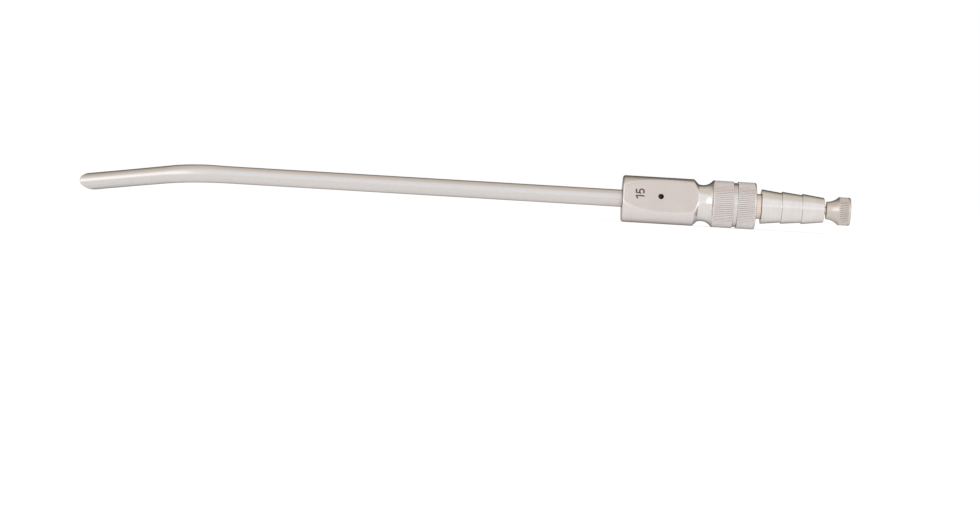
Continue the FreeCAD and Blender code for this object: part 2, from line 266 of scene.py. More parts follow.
class SuctionTool(bpy.types.PropertyGroup):
    tube: PointerProperty(type=TubeSizes)
    handle: PointerProperty(type=HandleSizes)
    knurl: PointerProperty(type=KnurlSizes)
    connector: PointerProperty(type=ConnectorSizes)
    stylet: PointerProperty(type=StyletSizes)
    mark: PointerProperty(type=MarkSizes)
    finish: PointerProperty(type=Finish)
    stage: PointerProperty(type=StageSettings)


# Outlines, as points (along the axis, away from it)

def rounded(corners, steps=6):
    """The points of an outline whose corners are (along, away, rounding).

    Each rounding is an arc. A point a little way out on each side of it keeps the
    flat that it runs into flat.
    """
    spots = [Vector(corner[:2]) for corner in corners]
    cuts = [0.0] * len(corners)
    halves = [0.0] * len(corners)
    for i in range(1, len(corners) - 1):
        if corners[i][2] > 0:
            back = (spots[i - 1] - spots[i]).normalized()
            on = (spots[i + 1] - spots[i]).normalized()
            halves[i] = back.angle(on) / 2
            cuts[i] = corners[i][2] / math.tan(halves[i])
    points = [spots[0]]
    for i in range(1, len(corners) - 1):
        if not corners[i][2] > 0:
            points.append(spots[i])
            continue
        back = spots[i - 1] - spots[i]
        on = spots[i + 1] - spots[i]
        room_back = back.length - cuts[i] - cuts[i - 1]
        room_on = on.length - cuts[i] - cuts[i + 1]
        if min(room_back, room_on) < 0:
            raise RuntimeError(f"corner {i} of an outline has no room for its rounding")
        back.normalize()
        on.normalize()
        hold = corners[i][2] / 4
        centre = spots[i] + (back + on).normalized() * (corners[i][2] / math.sin(halves[i]))
        first = spots[i] + back * cuts[i] - centre
        last = spots[i] + on * cuts[i] - centre
        turn = math.pi - 2 * halves[i]
        points.append(centre + first + back * min(hold, room_back / 3))
        points += arc(centre, first, last, turn, steps)
        points.append(centre + last + on * min(hold, room_on / 3))
    points.append(spots[-1])
    return [(point.x, point.y) for point in points]


def arc(centre, first, last, turn, steps):
    """Points about a centre, from one arm to another that lies a turn further."""
    spots = []
    for step in range(steps + 1):
        done = step / steps * turn
        arm = (first * math.sin(turn - done) + last * math.sin(done)) / math.sin(turn)
        spots.append(centre + arm)
    return spots


def hollow(start, end, radius, steps=14):
    """Corners along an arc from start to end that is hollow, seen from outside."""
    first, last = Vector(start), Vector(end)
    chord = last - first
    outward = Vector((-chord.y, chord.x)).normalized()
    centre = (first + last) / 2 + outward * math.sqrt(radius ** 2 - (chord.length / 2) ** 2)
    a, b = first - centre, last - centre
    return [(*spot, 0.0) for spot in arc(centre, a, b, a.angle(b), steps)]


def filled(points, gap):
    """The same outline with points added where two are further apart than gap."""
    dense = [points[0]]
    for (x0, r0), (x1, r1) in zip(points, points[1:]):
        pieces = max(1, math.ceil(math.hypot(x1 - x0, r1 - r0) / gap))
        for i in range(1, pieces + 1):
            dense.append((x0 + (x1 - x0) * i / pieces, r0 + (r1 - r0) * i / pieces))
    return dense


# Meshes

def around(columns):
    return [2 * math.pi * i / columns for i in range(columns)]


def ring(along, away, angles):
    """A ring of points about the axis; on the axis it is a single point."""
    if away == 0:
        return [Vector((along, 0, 0))]
    return [Vector((along, away * math.sin(a), away * math.cos(a))) for a in angles]


def skin(name, rings, closed=False):
    """A mesh over rings of points. Rings in order of +X on the outside give outward faces."""
    points = []
    starts = []
    for loop in rings:
        starts.append(len(points))
        points.extend(loop)
    pairs = [(i, i + 1) for i in range(len(rings) - 1)]
    if closed:
        pairs.append((len(rings) - 1, 0))
    faces = []
    for i, j in pairs:
        count = max(len(rings[i]), len(rings[j]))
        for k in range(count):
            after = (k + 1) % count
            corners = [(i, k), (j, k), (j, after), (i, after)]
            face = []
            for loop, place in corners:
                index = starts[loop] + place % len(rings[loop])
                if index not in face:
                    face.append(index)
            faces.append(face)
    mesh = bpy.data.meshes.new(name)
    mesh.from_pydata(points, [], faces)
    mesh.update()
    return mesh


def turned(name, points, columns, closed=False):
    """An outline turned once round the axis."""
    return skin(name, [ring(x, r, around(columns)) for x, r in points], closed)


def temporary(mesh):
    """An object to hang a modifier on."""
    thing = bpy.data.objects.new(mesh.name, mesh)
    bpy.context.scene.collection.objects.link(thing)
    return thing


def applied(thing):
    """The mesh of an object with its modifiers applied; the object is then removed."""
    bpy.context.view_layer.update()
    seen = thing.evaluated_get(bpy.context.evaluated_depsgraph_get())
    mesh = bpy.data.meshes.new_from_object(seen)
    bpy.data.objects.remove(thing)
    return mesh


def joined(name, parts):
    """One mesh out of several."""
    whole = bmesh.new()
    for part in parts:
        whole.from_mesh(part)
    mesh = bpy.data.meshes.new(name)
    whole.to_mesh(mesh)
    whole.free()
    return mesh


def piece(name, mesh, materials, node, body, chosen=None):
    """A finished piece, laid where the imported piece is, which it stands for.

    chosen gives the index of a face's material from the face's middle.
    """
    mesh.materials.clear()
    for material in materials:
        mesh.materials.append(material)
    if chosen:
        for face in mesh.polygons:
            face.material_index = chosen(face.center)
    mesh.transform(TOOL_TO_ROW)
    mesh.shade_smooth()
    mesh.set_sharp_from_angle(angle=SHARP_ANGLE)
    thing = bpy.data.objects.new(name, mesh)
    bpy.context.scene.collection.objects.link(thing)
    if node:
        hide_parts(node)
    if body:
        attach(thing, body)
    return thing


# Node trees

def add_node(tree, kind, inputs=None, **settings):
    """Adds a node. inputs holds values or other nodes' sockets, settings its options."""
    node = tree.nodes.new(kind)
    for name, value in settings.items():
        setattr(node, name, value)
    for name, value in (inputs or {}).items():
        if isinstance(value, bpy.types.NodeSocket):
            tree.links.new(value, node.inputs[name])
        else:
            node.inputs[name].default_value = value
    return node


def maths(tree, operation, *values):
    """The result of a math node."""
    inputs = dict(enumerate(values))
    return add_node(tree, "ShaderNodeMath", inputs, operation=operation).outputs[0]


def mapped(tree, value, before, after=(0.0, 1.0)):
    """A value moved from one range to another, and kept within it."""
    return add_node(tree, "ShaderNodeMapRange", {
        "Value": value,
        "From Min": before[0],
        "From Max": before[1],
        "To Min": after[0],
        "To Max": after[1],
    }).outputs[0]


def empty_material(name):
    """A new material without a single node."""
    material = bpy.data.materials.new(name)
    material.use_nodes = True
    material.node_tree.nodes.clear()
    return material


KNURL_INPUTS = {
    "Teeth": "NodeSocketInt",
    "Root radius": "NodeSocketFloat",
    "Height": "NodeSocketFloat",
    "Crest width": "NodeSocketFloat",
    "Foot width": "NodeSocketFloat",
    "Rounding": "NodeSocketFloat",
    "Start": "NodeSocketFloat",
    "Length": "NodeSocketFloat",
    "Finish": "NodeSocketMaterial",
}


def knurl_tree():
    """Straight knurling: one tooth, a rounded trapezoid bar, repeated round the axis."""
    name = "straight_knurl"
    if name in bpy.data.node_groups:
        return bpy.data.node_groups[name]
    tree = bpy.data.node_groups.new(name, "GeometryNodeTree")
    for title, kind in KNURL_INPUTS.items():
        tree.interface.new_socket(title, in_out="INPUT", socket_type=kind)
    tree.interface.new_socket("Teeth mesh", in_out="OUTPUT", socket_type="NodeSocketGeometry")
    given = add_node(tree, "NodeGroupInput").outputs
    outline = add_node(tree, "GeometryNodeCurvePrimitiveQuadrilateral", {
        "Bottom Width": given["Foot width"],
        "Top Width": given["Crest width"],
        "Height": given["Height"],
        "Offset": 0.0,
    }, mode="TRAPEZOID")
    soft = add_node(tree, "GeometryNodeFilletCurve", {
        "Curve": outline.outputs["Curve"],
        "Radius": given["Rounding"],
        "Limit Radius": True,
        "Count": 3,
    }, mode="POLY")
    line = add_node(tree, "GeometryNodeCurvePrimitiveLine", {
        "Start": (0.0, 0.0, 0.0),
        "Direction": (0.0, 0.0, 1.0),
        "Length": given["Length"],
    }, mode="DIRECTION")
    bar = add_node(tree, "GeometryNodeCurveToMesh", {
        "Curve": line.outputs["Curve"],
        "Profile Curve": soft.outputs["Curve"],
        "Fill Caps": True,
    })
    half = maths(tree, "MULTIPLY", given["Height"], 0.5)
    lift = maths(tree, "ADD", given["Root radius"], half)
    place = add_node(tree, "ShaderNodeCombineXYZ", {"X": given["Start"], "Z": lift})
    laid = add_node(tree, "GeometryNodeTransform", {
        "Geometry": bar.outputs["Mesh"],
        "Translation": place.outputs["Vector"],
        "Rotation": (math.pi / 2, 0.0, math.pi / 2),
    })
    spots = add_node(tree, "GeometryNodePoints", {"Count": given["Teeth"]})
    index = add_node(tree, "GeometryNodeInputIndex")
    share_of_turn = maths(tree, "DIVIDE", index.outputs[0], given["Teeth"])
    spin = add_node(tree, "FunctionNodeAxisAngleToRotation", {
        "Axis": (1.0, 0.0, 0.0),
        "Angle": maths(tree, "MULTIPLY", share_of_turn, 2 * math.pi),
    })
    teeth = add_node(tree, "GeometryNodeInstanceOnPoints", {
        "Points": spots.outputs[0],
        "Instance": laid.outputs["Geometry"],
        "Rotation": spin.outputs[0],
    })
    real = add_node(tree, "GeometryNodeRealizeInstances", {"Geometry": teeth.outputs["Instances"]})
    coated = add_node(tree, "GeometryNodeSetMaterial", {
        "Geometry": real.outputs["Geometry"],
        "Material": given["Finish"],
    })
    add_node(tree, "NodeGroupOutput", {"Teeth mesh": coated.outputs["Geometry"]})
    return tree


def knurl_teeth(name, sizes, teeth, radius, start, end, finish):
    """The teeth of one knurled band, whose crests lie at the given radius."""
    tree = knurl_tree()
    foot_in_band = 0.03 * MM
    height = sizes.depth + foot_in_band
    root = radius - height
    pitch = 2 * math.pi * (radius - sizes.depth) / teeth
    values = {
        "Teeth": teeth,
        "Root radius": root,
        "Height": height,
        "Crest width": 2 * math.pi * radius / teeth - sizes.groove,
        "Foot width": pitch,
        "Rounding": sizes.rounding,
        "Start": start,
        "Length": end - start,
        "Finish": finish,
    }
    thing = temporary(bpy.data.meshes.new(name))
    modifier = thing.modifiers.new("knurl", "NODES")
    modifier.node_group = tree
    for item in tree.interface.items_tree:
        if item.in_out == "INPUT":
            modifier[item.identifier] = values[item.name]
    return applied(thing)


# Finishes

# name is the material's and edge its tint at a grazing view. follows is the output that
# the marks of the finishing tool follow, marks their number in a metre along each of its
# coordinates and depth their depth. clouds is the number of the broad mottling's patches,
# contrast how much darker marks and clouds make the steel, and spread how far the marks
# shift its roughness.
Look = namedtuple("Look", "name edge follows marks depth clouds contrast spread")

LATHE_RINGS = (3000, 90, 90)

LOOKS = {
    # Stainless tube and wire, drawn through a die and then polished along their length.
    # Faint streaks run along the tube and stretch its highlights lengthwise. The real
    # polishing lines are about 0.03 mm apart; they are drawn 0.25 mm apart, to show.
    "drawn": Look("drawn_stainless_polished_lengthwise", "#8E867E", "unbent",
                  (60, 4000, 4000), 0.0006 * MM, (25, 300, 300), 0.05, 0.04),
    # Stainless thumb rest, milled into the grip and then blasted with glass beads. A fine,
    # even grain without direction takes the mirror out of the steel and leaves a soft
    # sheen. The real dimples are about 0.05 mm wide; they are drawn 0.2 mm wide.
    "satin": Look("turned_stainless_bead_blasted", "#B4AEA8", "Object",
                  (5000, 5000, 5000), 0.0012 * MM, (220, 220, 220), 0.05, 0.03),
    # Stainless grip and collars, turned with a fine feed and left as they come: crisper
    # and paler than the blasted thumb rest, with faint rings round the axis.
    "turned": Look("turned_stainless_fine_feed", "#8E867E", "Object",
                   LATHE_RINGS, 0.0004 * MM, (200, 120, 120), 0.04, 0.02),
    # Stainless waist and hose barbs, turned and then polished in the lathe. The rings that
    # it leaves break the highlights up into fine bands. The real feed is about 0.05 mm a
    # turn; the rings are drawn 0.35 mm apart.
    "polished": Look("turned_stainless_polished", "#8C8680", "Object",
                     LATHE_RINGS, 0.0005 * MM, (400, 300, 300), 0.07, 0.02),
    # Stainless knob, turned like the collars but coloured darker than them: painted shade that
    # stands for the darker look of its knurled rim.
    "knob": Look("turned_stainless_painted_darker", "#968E86", "Object",
                 LATHE_RINGS, 0.0004 * MM, (300, 200, 200), 0.06, 0.03),
    # The connector's neck, painted warmer and more mottled than the barbs: painted shade and
    # painted warm reflection of the collar and the first barb in this narrow recess.
    "straw": Look("turned_stainless_painted_warm_shade", "#8C7A68", "Object",
                  LATHE_RINGS, 0.0004 * MM, (600, 300, 300), 0.15, 0.04),
    # The brown oxide film that a marking laser leaves on stainless steel. It lies in the
    # steel's own surface, so it keeps some of the satin sheen.
    "mark": Look("laser_oxide_on_stainless", "#808080", "Object",
                 (6000, 6000, 6000), 0.0004 * MM, (900, 900, 900), 0.12, 0.05),
}


def noise(tree, where, counts, detail, roughness):
    """Noise with so many patches in a metre along each coordinate."""
    spots = add_node(tree, "ShaderNodeMapping", {"Vector": where, "Scale": counts})
    return add_node(tree, "ShaderNodeTexNoise", {
        "Vector": spots.outputs["Vector"],
        "Scale": 1.0,
        "Detail": detail,
        "Roughness": roughness,
    }).outputs["Fac"]


def steel(finish, kind):
    """Stainless steel with the marks of the tool that finished it."""
    look = LOOKS[kind]
    if look.name in bpy.data.materials:
        return bpy.data.materials[look.name]
    shade = getattr(finish, kind)
    dark = [channel * (1 - look.contrast) for channel in shade]
    roughness = getattr(finish, f"{kind}_roughness")
    material = empty_material(look.name)
    tree = material.node_tree
    if look.follows == "Object":
        where = add_node(tree, "ShaderNodeTexCoord").outputs["Object"]
    else:
        kept = add_node(tree, "ShaderNodeAttribute", attribute_name=look.follows)
        where = kept.outputs["Vector"]
    fine = noise(tree, where, look.marks, detail=3.0, roughness=0.6)
    broad = noise(tree, where, look.clouds, detail=2.0, roughness=0.5)
    tint = add_node(tree, "ShaderNodeMix", {
        0: mapped(tree, maths(tree, "ADD", fine, broad), (0.7, 1.3)),
        6: (*dark, 1.0),
        7: (*shade, 1.0),
    }, data_type="RGBA")
    bump = add_node(tree, "ShaderNodeBump", {"Height": fine, "Distance": look.depth})
    shader = add_node(tree, "ShaderNodeBsdfPrincipled", {
        "Base Color": tint.outputs[2],
        "Metallic": 1.0,
        "Roughness": mapped(
            tree, fine, (0.3, 0.7), (roughness - look.spread, roughness + look.spread),
        ),
        "Normal": bump.outputs["Normal"],
        "Specular Tint": (*linear(look.edge), 1.0),
    })
    add_node(tree, "ShaderNodeOutputMaterial", {"Surface": shader.outputs["BSDF"]})
    return material


# Pieces

def bend(mesh, tube):
    """Bends a mesh with the tube. Each point keeps, as an attribute, where it lay before."""
    kept = mesh.attributes.new("unbent", "FLOAT_VECTOR", "POINT")
    for vertex, spot in zip(mesh.vertices, kept.data):
        spot.vector = vertex.co
    for vertex in mesh.vertices:
        vertex.co = bent(vertex.co, tube)


def bent(point, tube):
    """Where a point of the straight tube goes in the bend, which is a little flattened."""
    radius = tube.bend_radius
    start = radius * math.tan(tube.bend / 2) - tube.reach
    travelled = start - point.x
    turn = min(max(travelled, 0) / radius, tube.bend)
    # The tube flattens and widens over a short way at each end of the bend.
    spread = 4 * MM
    into = smoothstep((travelled + spread) / (2 * spread))
    out = smoothstep((travelled - radius * tube.bend + spread) / (2 * spread))
    wider = 1 + tube.oval * into * (1 - out)
    point = Vector((point.x, point.y * wider, point.z / wider))
    if travelled <= 0:
        return point
    outward = Vector((-math.sin(turn), 0, math.cos(turn)))
    onward = Vector((-math.cos(turn), 0, -math.sin(turn)))
    centre = Vector((start, 0, -radius))
    across = outward * (radius + point.z) + Vector((0, point.y, 0))
    return centre + across + onward * (travelled - turn * radius)


def mouth_place(tube):
    """Where the middle of the mouth lies on the straight tube."""
    tangent = tube.bend_radius * math.tan(tube.bend / 2)
    return tangent - tube.reach - tube.bend_radius * tube.bend - (tube.tip - tangent)


def bend_stations(tube, count):
    """Evenly spaced places along the bend, on the straight tube."""
    start = tube.bend_radius * math.tan(tube.bend / 2) - tube.reach
    return [start - tube.bend_radius * tube.bend * i / count for i in range(count + 1)]


def smoothstep(value):
    value = min(max(value, 0.0), 1.0)
    return value * value * (3 - 2 * value)


def softer_minimum(a, b, width):
    """The smaller of two heights, with the corner between them rounded."""
    return min(a, b) - max(width - abs(a - b), 0.0) ** 2 / (4 * width)


def rest_level(handle, place):
    """How high the thumb rest lies above the axis."""
    run = place - handle.rest_place
    return handle.rest_height + handle.rest_radius - math.sqrt(handle.rest_radius ** 2 - run ** 2)


class SUCTION_OT_tube(bpy.types.Operator):
    """Make the bent tube, with its slanted mouth"""
    bl_idname = "suction_tool.tube"
    bl_label = "Tube"

    def execute(self, context):
        tool = context.scene.suction_tool
        tube = tool.tube
        mouth = mouth_place(tube)
        outside = tube.diameter / 2
        inside = tube.bore / 2
        # Behind the mouth the rings lean less and less, until they stand square.
        slant_run = 13 * MM
        runs = [mouth + step * MM for step in range(2, 16, 2)]
        runs += reversed(bend_stations(tube, count=36))
        runs += [runs[-1] + step * MM for step in range(1, 5)]
        straight = 12
        first = runs[-1]
        runs += [first + (tube.seat - first) * i / straight for i in range(1, straight)]
        middle = len(runs) // 2
        corners = [(x, inside, 0) for x in reversed(runs[:middle])]
        corners += [(mouth, inside, tube.inner_lip), (mouth, outside, tube.lip)]
        corners += [(x, outside, 0) for x in runs]
        corners += [(tube.seat, outside, BROKEN), (tube.seat, inside, BROKEN)]
        corners += [(x, inside, 0) for x in reversed(runs[middle:])]
        mesh = turned("suction_tube_bent", rounded(corners), columns=96, closed=True)
        for vertex in mesh.vertices:
            near = 1 - smoothstep((vertex.co.x - mouth) / slant_run)
            vertex.co.x -= near * vertex.co.z * math.tan(tube.slant)
        bend(mesh, tube)
        piece("suction_tube_bent", mesh, [steel(tool.finish, "drawn")],
              "suction_tube", STEEL_BODY)
        return {"FINISHED"}


class SUCTION_OT_wire(bpy.types.Operator):
    """Make the stylet's wire, which follows the bend of the tube"""
    bl_idname = "suction_tool.wire"
    bl_label = "Stylet wire"

    def execute(self, context):
        tool = context.scene.suction_tool
        stylet = tool.stylet
        tube = tool.tube
        radius = stylet.wire / 2
        start = mouth_place(tube) + stylet.wire_setback
        end = station("stylet_wire", 1)
        tip_rounding = 0.25 * MM
        ring_gap = 4 * MM
        runs = [start + 2 * MM * i for i in range(1, 12)]
        runs += reversed(bend_stations(tube, count=24))
        first = runs[-1]
        straight = math.ceil((end - first) / ring_gap)
        runs += [first + (end - first) * i / straight for i in range(1, straight)]
        corners = [(start, 0, 0), (start, radius, tip_rounding)]
        corners += [(x, radius, 0) for x in runs]
        corners += [(end, radius, BROKEN), (end, 0, 0)]
        mesh = turned("stylet_wire_springy", rounded(corners, steps=4), columns=32)
        bend(mesh, tube)
        wire = piece("stylet_wire_springy", mesh, [steel(tool.finish, "drawn")],
                     "stylet_wire", None)
        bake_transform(wire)
        return {"FINISHED"}


class SUCTION_OT_handle(bpy.types.Operator):
    """Make the turned handle, with its thumb rest, vent, waist and knurled collar"""
    bl_idname = "suction_tool.handle"
    bl_label = "Handle"

    def execute(self, context):
        tool = context.scene.suction_tool
        handle = tool.handle
        knurl = tool.knurl
        connector = tool.connector
        full = handle.diameter / 2
        hole = tool.tube.diameter / 2 + handle.solder_gap
        lumen = connector.lumen / 2
        socket = connector.spigot / 2 + connector.spigot_clearance
        end = station("handle", 1)
        spigot_end = station("hose_connector", 0)
        socket_end = spigot_end - 0.5 * MM
        shoulder_end = handle.grip + handle.shoulder
        collar = handle.grip + handle.waist
        teeth_start = collar + knurl.collar_land
        groove = end - connector.parting / 2
        floor = full - connector.parting_depth
        teeth_end = groove - knurl.rear_land
        root = full - knurl.depth
        relief_floor = floor - connector.relief_depth
        # The collar's plain rear edge lies a hair below the teeth.
        land = full - 0.05 * MM
        outer = [
            (0, hole + CHAMFER, 0),
            (0, full, handle.front_rounding),
            (handle.grip, full, CHAMFER),
        ]
        shoulder = (shoulder_end, full - handle.shoulder_drop)
        outer += hollow(shoulder, (collar, full), handle.cove_radius)
        outer += [
            (teeth_start, full, 0),
            (teeth_start, root, 0),
            (teeth_end, root, 0),
            (teeth_end, land, 0),
            (groove, land, 0),
            (groove, relief_floor, 0),
            (groove + connector.relief, relief_floor, 0),
            (groove + connector.relief, floor, BROKEN / 2),
            (end, floor, 0),
            (end, socket + CHAMFER, 0),
        ]
        inner = [
            (end, socket + CHAMFER, 0),
            (end - CHAMFER, socket, 0),
            (socket_end, socket, 0),
            (socket_end, lumen, 0),
            (tool.tube.seat, lumen, 0),
            (tool.tube.seat, hole, 0),
            (0, hole, BROKEN),
            (0, hole + CHAMFER, 0),
        ]
        # The columns are close together over the thumb rest and wider apart elsewhere.
        rest_half = 52
        rest_step = 0.8
        fine = round(rest_half / rest_step)
        coarse = 80
        elsewhere = 360 - 2 * rest_half
        angles = [math.radians(rest_step * i) for i in range(-fine, fine)]
        angles += [math.radians(rest_half + elsewhere * i / coarse) for i in range(coarse)]
        # The front edge's rounding is taken off the scooped outline, so it follows the rest.
        rest_end = collar - 2.5 * MM
        face = hole + 0.4 * MM
        rings = []
        for place, away in filled(rounded(outer, steps=8), gap=0.3 * MM):
            cut = full - away if place < handle.front_rounding else 0.0
            loop = []
            for a in angles:
                reach = away + cut
                if place < rest_end and math.cos(a) > 0.5:
                    level = rest_level(handle, place) / math.cos(a)
                    reach = softer_minimum(reach, level, handle.rest_rounding)
                loop += ring(place, reach - cut if away > face else away, [a])
            rings.append(loop)
        bore = filled(rounded(inner), gap=2 * MM)[1:-1]
        rings += [ring(place, away, angles) for place, away in bore]
        body = temporary(skin("handle_body", rings, closed=True))
        # The drill widens where it leaves the rest, which breaks the edge of the vent.
        level = rest_level(handle, handle.vent_place)
        top = level + 2 * MM
        vent = handle.vent_diameter / 2
        wide = vent + 3 * BROKEN
        drill = [(0, 0, 0), (0, vent, 0), (level - BROKEN, vent, BROKEN),
                 (level + 2 * BROKEN, wide, 0), (top, wide, 0), (top, 0, 0)]
        cutter = temporary(turned("vent_drill", rounded(drill), columns=48))
        upright = Matrix.Rotation(-math.pi / 2, 4, "Y")
        cutter.matrix_world = Matrix.Translation((handle.vent_place, 0, 0)) @ upright
        boolean = body.modifiers.new("vent", "BOOLEAN")
        boolean.operation = "DIFFERENCE"
        boolean.solver = "EXACT"
        boolean.object = cutter
        drilled = applied(body)
        bpy.data.objects.remove(cutter)
        finishes = [steel(tool.finish, kind) for kind in ("satin", "turned", "polished")]
        teeth = knurl_teeth("front_knurl", knurl, knurl.collar_teeth, full,
                            teeth_start, teeth_end, finishes[1])
        mesh = joined("handle_turned", [drilled, teeth])
        same_level = 0.06 * MM

        def worked(middle):
            """Blasted on the thumb rest, polished in the waist and the groove, else turned."""
            on_rest = abs(middle.z - rest_level(handle, middle.x)) < same_level
            if on_rest and handle.front_rounding / 2 < middle.x < shoulder_end:
                return 0
            return 1 if middle.x <= handle.grip or collar < middle.x < groove else 2

        piece("handle_turned", mesh, finishes, "handle", STEEL_BODY, worked)
        return {"FINISHED"}


class SUCTION_OT_connector(bpy.types.Operator):
    """Make the hose connector, with its knurled collar and three barbs"""
    bl_idname = "suction_tool.connector"
    bl_label = "Hose connector"

    def execute(self, context):
        tool = context.scene.suction_tool
        sizes = tool.connector
        knurl = tool.knurl
        full = tool.handle.diameter / 2
        lumen = sizes.lumen / 2
        start = station("hose_connector", 0)
        parting = station("handle", 1)
        end = station("hose_connector", 1)
        collar_end = parting + sizes.collar
        first = collar_end + sizes.neck_length
        second = first + sizes.barb
        third = second + sizes.barb
        middle = (start + end) / 2
        groove = parting + sizes.parting / 2
        floor = full - sizes.parting_depth
        relief_floor = floor - sizes.relief_depth
        teeth_start = groove + knurl.rear_land
        slit_end = parting + sizes.slit
        teeth_end = collar_end - 0.5 * MM
        root = full - knurl.depth
        # The collar's plain rear edge lies a hair below the teeth.
        land = full - 0.02 * MM
        crest = sizes.crest_rounding
        corner = sizes.root_rounding
        inner_corner = 0.2 * MM
        outline = [
            (middle, lumen, 0),
            (start, lumen, inner_corner),
            (start, sizes.spigot / 2, CHAMFER),
            (slit_end, sizes.spigot / 2, 0),
            (slit_end, floor, 0),
            (groove - sizes.relief, floor, BROKEN / 2),
            (groove - sizes.relief, relief_floor, 0),
            (groove, relief_floor, 0),
            (groove, full, 0.06 * MM),
            (teeth_start, full, 0),
            (teeth_start, root, 0),
            (teeth_end, root, 0),
            (teeth_end, land, 0),
            (collar_end, land, sizes.collar_rounding),
            (collar_end, sizes.neck / 2, inner_corner),
            (first, sizes.neck / 2, corner),
            (first, sizes.first_crest / 2, crest),
            (second, sizes.first_root / 2, corner),
            (second, sizes.second_crest / 2, crest),
            (third, sizes.second_root / 2, corner),
            (third, sizes.third_crest / 2, crest),
            (end, sizes.third_root / 2, 0.25 * MM),
            (end, lumen, inner_corner),
        ]
        spots = filled(rounded(outline), gap=1.5 * MM)
        body = turned("connector_body", spots, columns=144, closed=True)
        finishes = [steel(tool.finish, kind) for kind in ("polished", "turned", "straw")]
        teeth = knurl_teeth("rear_knurl", knurl, knurl.collar_teeth, full,
                            teeth_start, teeth_end, finishes[1])
        mesh = joined("hose_connector_turned", [body, teeth])

        def worked(middle):
            """Turned on the collar, painted with warm shade and reflection in the neck, polished
            elsewhere.
            """
            away = math.hypot(middle.y, middle.z)
            # Faces low in the neck take the warm tint that paints in shade and reflection.
            if collar_end < middle.x < first and away < sizes.neck / 2 + crest:
                return 2
            return 1 if groove < middle.x <= collar_end else 0

        piece("hose_connector_turned", mesh, finishes,
              "hose_connector", STEEL_BODY, worked)
        return {"FINISHED"}


class SUCTION_OT_knob(bpy.types.Operator):
    """Make the stylet's knob, with its flare and knurled rim"""
    bl_idname = "suction_tool.knob"
    bl_label = "Stylet knob"

    def execute(self, context):
        tool = context.scene.suction_tool
        sizes = tool.stylet
        knurl = tool.knurl
        nose = tool.connector.lumen / 2 - sizes.nose_clearance
        wire = sizes.wire / 2 + tool.handle.solder_gap
        start = station("stylet_knob", 0)
        end = station("stylet_knob", 1)
        anchor = station("stylet_wire", 1)
        front = station("hose_connector", 1) + sizes.knob_gap
        rim = front + sizes.flare
        radius = sizes.rim / 2
        root = radius - knurl.depth
        teeth_start = rim + knurl.knob_land
        teeth_end = end - knurl.knob_rear_land
        nose_rounding = 0.35 * MM
        flare_radius = 4.83 * MM
        flare = hollow((front, sizes.neck / 2), (rim, radius), flare_radius)
        flare[0] = (*flare[0][:2], BROKEN)
        outline = [
            (anchor, 0, 0),
            (anchor, wire, 0),
            (start, wire, BROKEN),
            (start, nose, nose_rounding),
            (front - sizes.undercut, nose, BROKEN),
            (front - sizes.undercut, sizes.undercut_neck / 2, 0),
            (front, sizes.undercut_neck / 2, 0),
            *flare,
            (teeth_start, radius, 0),
            (teeth_start, root, 0),
            (teeth_end, root, 0),
            (teeth_end, radius, 0),
            (end, radius, sizes.rim_rounding),
            (end, 0, 0),
        ]
        finish = steel(tool.finish, "knob")
        body = turned("knob_body", filled(rounded(outline), gap=1 * MM), columns=132)
        teeth = knurl_teeth("knob_knurl", knurl, knurl.knob_teeth, radius,
                            teeth_start, teeth_end, finish)
        mesh = joined("stylet_knob_turned", [body, teeth])
        piece("stylet_knob_turned", mesh, [finish],
              "stylet_knob", STYLET_BODY)
        return {"FINISHED"}


def bowl(centre, across, up, first, last, steps=16):
    """Points along part of an oval, between two directions in degrees."""
    spots = [math.radians(first + (last - first) * i / steps) for i in range(steps + 1)]
    return [(centre[0] + across * math.cos(a), centre[1] + up * math.sin(a)) for a in spots]


# The pen's way through each digit of the gauge number, in shares of the digits' height,
# and how far on the next digit starts
DIGIT_LINES = {
    "1": ([(-0.02, 0.74), (0.3, 0.91), (0.34, 0.91), (0.36, 0.88), (0.36, 0.0)], 0.56),
    "5": ([(0.62, 0.925), (0.18, 0.925), (0.12, 0.47)]
          + bowl((0.36, 0.32), 0.28, 0.25, 125, -140), 0.7),
}


def ribbon(line, width):
    """A flat band along a line, with square ends, as a thin closed mesh."""
    spots = [Vector(point) for point in line]
    ways = [(b - a).normalized() for a, b in zip(spots, spots[1:])]
    longest_miter = 2
    left = []
    right = []
    for i, spot in enumerate(spots):
        before = ways[max(i - 1, 0)]
        after = ways[min(i, len(ways) - 1)]
        across = Vector((-before.y - after.y, before.x + after.x)).normalized()
        lean = max(across.dot(Vector((-before.y, before.x))), 1 / longest_miter)
        reach = width / 2 / lean
        left.append(spot + across * reach)
        right.append(spot - across * reach)
    count = len(spots)
    points = [(*spot, level) for level in (0, 1) for side in (left, right) for spot in side]
    up = 2 * count
    faces = []
    for i in range(count - 1):
        a, b, c, d = i, i + 1, count + i + 1, count + i
        faces += [(a, b, c, d), (a + up, d + up, c + up, b + up)]
        faces += [(a, a + up, b + up, b), (d, c, c + up, d + up)]
    for i in (0, count - 1):
        end = (i, count + i, 3 * count + i, 2 * count + i)
        faces.append(end if i == 0 else end[::-1])
    mesh = bpy.data.meshes.new("ribbon")
    mesh.from_pydata(points, [], faces)
    return mesh


